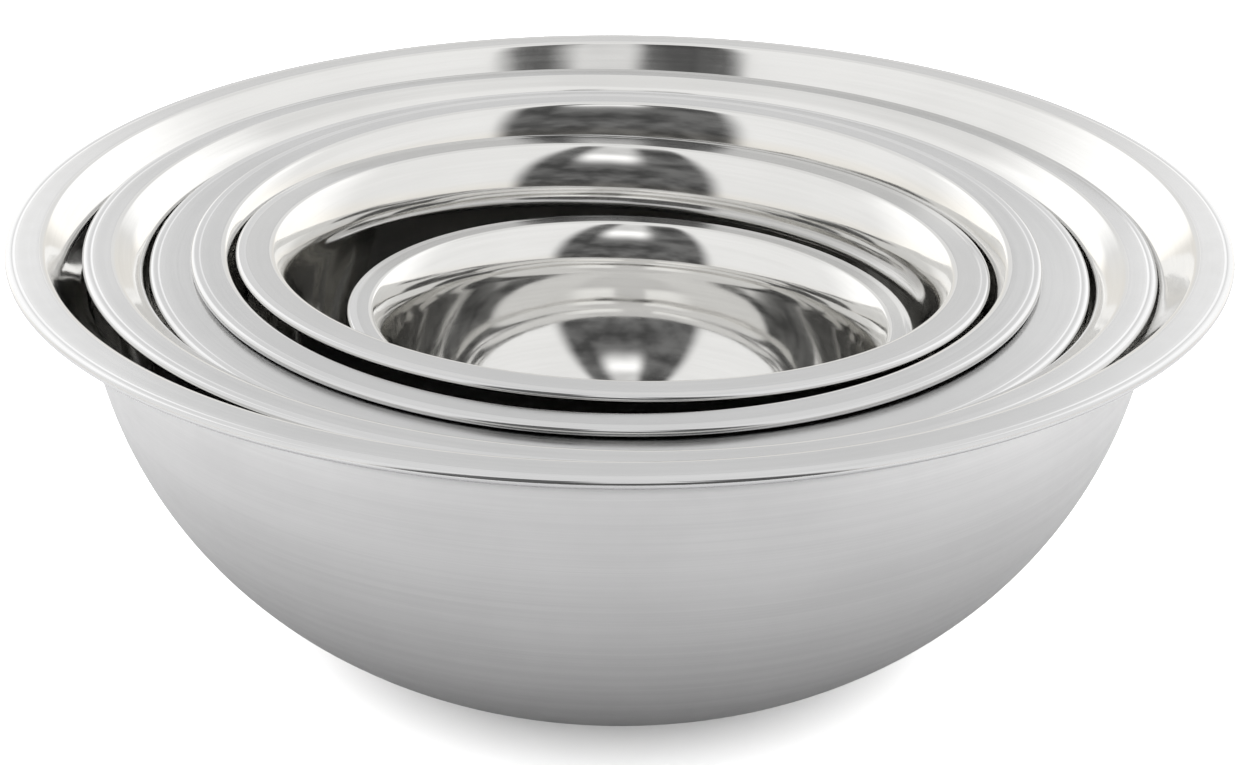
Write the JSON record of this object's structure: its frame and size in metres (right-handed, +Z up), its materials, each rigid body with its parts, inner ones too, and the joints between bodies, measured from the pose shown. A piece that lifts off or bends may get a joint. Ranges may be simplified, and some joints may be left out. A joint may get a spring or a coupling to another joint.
{
  "type": "nested mixing bowl set",
  "caption": "Nested round steel mixing bowls with wide flat rims and rolled edges, each lifting out of the next larger bowl.",
  "frame": {"origin": "on the surface that the set stands on, under the centre of the largest bowl", "axes": "+Z up along the largest bowl's axis, +X to the right and +Y to the back"},
  "size_m": [0.34, 0.3398, 0.128],
  "materials": {
    "steel": "satin outside and on the flange, mirror polished inside"
  },
  "bodies": {
    "bowl_34cm": {"bowl_34cm": "steel"},
    "bowl_30cm": {"bowl_30cm": "steel"},
    "bowl_27cm": {"bowl_27cm": "steel"},
    "bowl_24cm": {"bowl_24cm": "steel"},
    "bowl_21cm": {"bowl_21cm": "steel"},
    "bowl_16cm": {"bowl_16cm": "steel"}
  },
  "joints": [
    {"name": "bowl_30cm_lift", "type": "slide", "parent": "bowl_34cm", "child": "bowl_30cm", "axis": [0, 0, 1], "range_m": [0, 0.13]},
    {"name": "bowl_27cm_lift", "type": "slide", "parent": "bowl_30cm", "child": "bowl_27cm", "axis": [0, 0, 1], "range_m": [0, 0.12]},
    {"name": "bowl_24cm_lift", "type": "slide", "parent": "bowl_27cm", "child": "bowl_24cm", "axis": [0, 0, 1], "range_m": [0, 0.105]},
    {"name": "bowl_21cm_lift", "type": "slide", "parent": "bowl_24cm", "child": "bowl_21cm", "axis": [0, 0, 1], "range_m": [0, 0.1]},
    {"name": "bowl_16cm_lift", "type": "slide", "parent": "bowl_21cm", "child": "bowl_16cm", "axis": [0, 0, 1], "range_m": [0, 0.1]}
  ]
}
